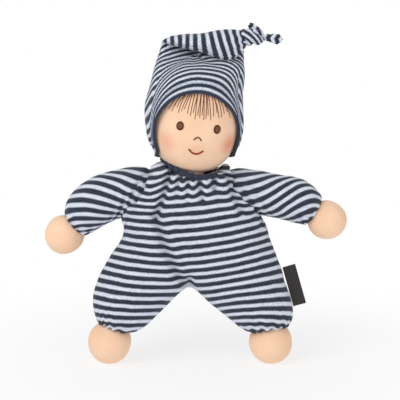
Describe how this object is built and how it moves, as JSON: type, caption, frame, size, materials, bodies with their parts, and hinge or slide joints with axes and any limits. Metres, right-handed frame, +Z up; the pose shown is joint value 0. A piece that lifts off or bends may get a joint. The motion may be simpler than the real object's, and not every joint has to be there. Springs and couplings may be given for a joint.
{
  "type": "soft doll",
  "caption": "Stuffed baby doll in a striped knitted one-piece suit, with ball hands and feet, an embroidered face, a short fringe and a knotted stocking hat.",
  "frame": {"origin": "on the floor, under the middle of the doll's overall width and depth", "axes": "+Z up; the face looks along -Y; +X is towards the doll's own left hand"},
  "size_m": [0.2092, 0.0664, 0.2424],
  "materials": {
    "striped_knit": "matt stocking-stitch knit, yarn-dyed in navy and pale blue-white stripes",
    "dark_knit": "matt plain navy rib knit",
    "skin_knit": "matt fine cotton knit, warm skin tone",
    "wool": "loose wool filling",
    "thread": "matt cotton thread",
    "brown_yarn": "matt brown embroidery yarn",
    "red_yarn": "matt red-brown embroidery thread",
    "label_ribbon": "matt woven charcoal ribbon, blank"
  },
  "bodies": {
    "torso": {"torso_cover": "striped_knit", "torso_filling": "wool", "neck_binding": "dark_knit"},
    "neck": {"neck_filling": "wool"},
    "head": {"head_skin": "skin_knit", "head_filling": "wool", "neck_tie": "thread", "left_eye": "brown_yarn", "right_eye": "brown_yarn", "nose": "brown_yarn", "mouth": "red_yarn", "hair_fringe": "brown_yarn", "hat_crown": "striped_knit", "hat_hem": "dark_knit"},
    "hat_tail": {"hat_tail": "striped_knit", "hat_knot": "striped_knit", "hat_side_end": "striped_knit", "hat_up_end": "striped_knit"},
    "side_label": {"side_label": "label_ribbon"},
    "left_shoulder": {"left_shoulder_filling": "wool"},
    "left_arm": {"left_sleeve": "striped_knit", "left_arm_filling": "wool"},
    "left_hand": {"left_hand_skin": "skin_knit", "left_hand_filling": "wool", "left_wrist_tie": "thread"},
    "left_leg": {"left_trouser_leg": "striped_knit", "left_leg_filling": "wool"},
    "left_foot": {"left_foot_skin": "skin_knit", "left_foot_filling": "wool", "left_ankle_tie": "thread"},
    "right_shoulder": {"right_shoulder_filling": "wool"},
    "right_arm": {"right_sleeve": "striped_knit", "right_arm_filling": "wool"},
    "right_hand": {"right_hand_skin": "skin_knit", "right_hand_filling": "wool", "right_wrist_tie": "thread"},
    "right_leg": {"right_trouser_leg": "striped_knit", "right_leg_filling": "wool"},
    "right_foot": {"right_foot_skin": "skin_knit", "right_foot_filling": "wool", "right_ankle_tie": "thread"}
  },
  "joints": [
    {"name": "neck_nod", "type": "hinge", "parent": "torso", "child": "neck", "pos_m": [-0.00303, -0.0011, 0.135], "axis": [1, 0, 0], "range_deg": [-12, 15], "stiffness_Nm_per_rad": 0.15},
    {"name": "head_turn", "type": "hinge", "parent": "neck", "child": "head", "pos_m": [-0.00303, -0.0011, 0.135], "axis": [0.1045, 0, 0.9945], "range_deg": [-45, 45], "stiffness_Nm_per_rad": 0.05},
    {"name": "hat_tail_lift", "type": "hinge", "parent": "head", "child": "hat_tail", "pos_m": [-0.02017, -0.00644, 0.22679], "axis": [0.0867, -0.9962, -0.0091], "range_deg": [0, 80]},
    {"name": "left_shoulder_lift", "type": "hinge", "parent": "torso", "child": "left_shoulder", "pos_m": [0.03447, -0.0011, 0.1247], "axis": [0, -1, 0], "range_deg": [-5, 50], "stiffness_Nm_per_rad": 0.08},
    {"name": "left_shoulder_swing", "type": "hinge", "parent": "left_shoulder", "child": "left_arm", "pos_m": [0.03447, -0.0011, 0.1247], "axis": [0, 0, -1], "range_deg": [-30, 45], "stiffness_Nm_per_rad": 0.08},
    {"name": "left_wrist_tip", "type": "hinge", "parent": "left_arm", "child": "left_hand", "pos_m": [0.09085, -0.0011, 0.10231], "axis": [0, 1, 0], "range_deg": [-15, 15], "stiffness_Nm_per_rad": 0.01},
    {"name": "left_hip_swing", "type": "hinge", "parent": "torso", "child": "left_leg", "pos_m": [0.03227, -0.0011, 0.0582], "axis": [-1, 0, 0], "range_deg": [-15, 70], "stiffness_Nm_per_rad": 0.3},
    {"name": "left_ankle_tip", "type": "hinge", "parent": "left_leg", "child": "left_foot", "pos_m": [0.05437, -0.0011, 0.0144], "axis": [-1, 0, 0], "range_deg": [-15, 15], "stiffness_Nm_per_rad": 0.08},
    {"name": "right_shoulder_lift", "type": "hinge", "parent": "torso", "child": "right_shoulder", "pos_m": [-0.04053, -0.0011, 0.1247], "axis": [0, 1, 0], "range_deg": [-5, 50], "stiffness_Nm_per_rad": 0.08},
    {"name": "right_shoulder_swing", "type": "hinge", "parent": "right_shoulder", "child": "right_arm", "pos_m": [-0.04053, -0.0011, 0.1247], "axis": [0, 0, 1], "range_deg": [-30, 45], "stiffness_Nm_per_rad": 0.08},
    {"name": "right_wrist_tip", "type": "hinge", "parent": "right_arm", "child": "right_hand", "pos_m": [-0.09102, -0.0011, 0.09108], "axis": [0, 1, 0], "range_deg": [-15, 15], "stiffness_Nm_per_rad": 0.01},
    {"name": "right_hip_swing", "type": "hinge", "parent": "torso", "child": "right_leg", "pos_m": [-0.03833, -0.0011, 0.0582], "axis": [-1, 0, 0], "range_deg": [-15, 70], "stiffness_Nm_per_rad": 0.3},
    {"name": "right_ankle_tip", "type": "hinge", "parent": "right_leg", "child": "right_foot", "pos_m": [-0.06043, -0.0011, 0.0144], "axis": [-1, 0, 0], "range_deg": [-15, 15], "stiffness_Nm_per_rad": 0.08},
    {"name": "label_flap", "type": "hinge", "parent": "left_leg", "child": "side_label", "pos_m": [0.06766, -0.0011, 0.05685], "axis": [-0.2419, 0, 0.9703], "range_deg": [-40, 40], "stiffness_Nm_per_rad": 0.0002}
  ]
}
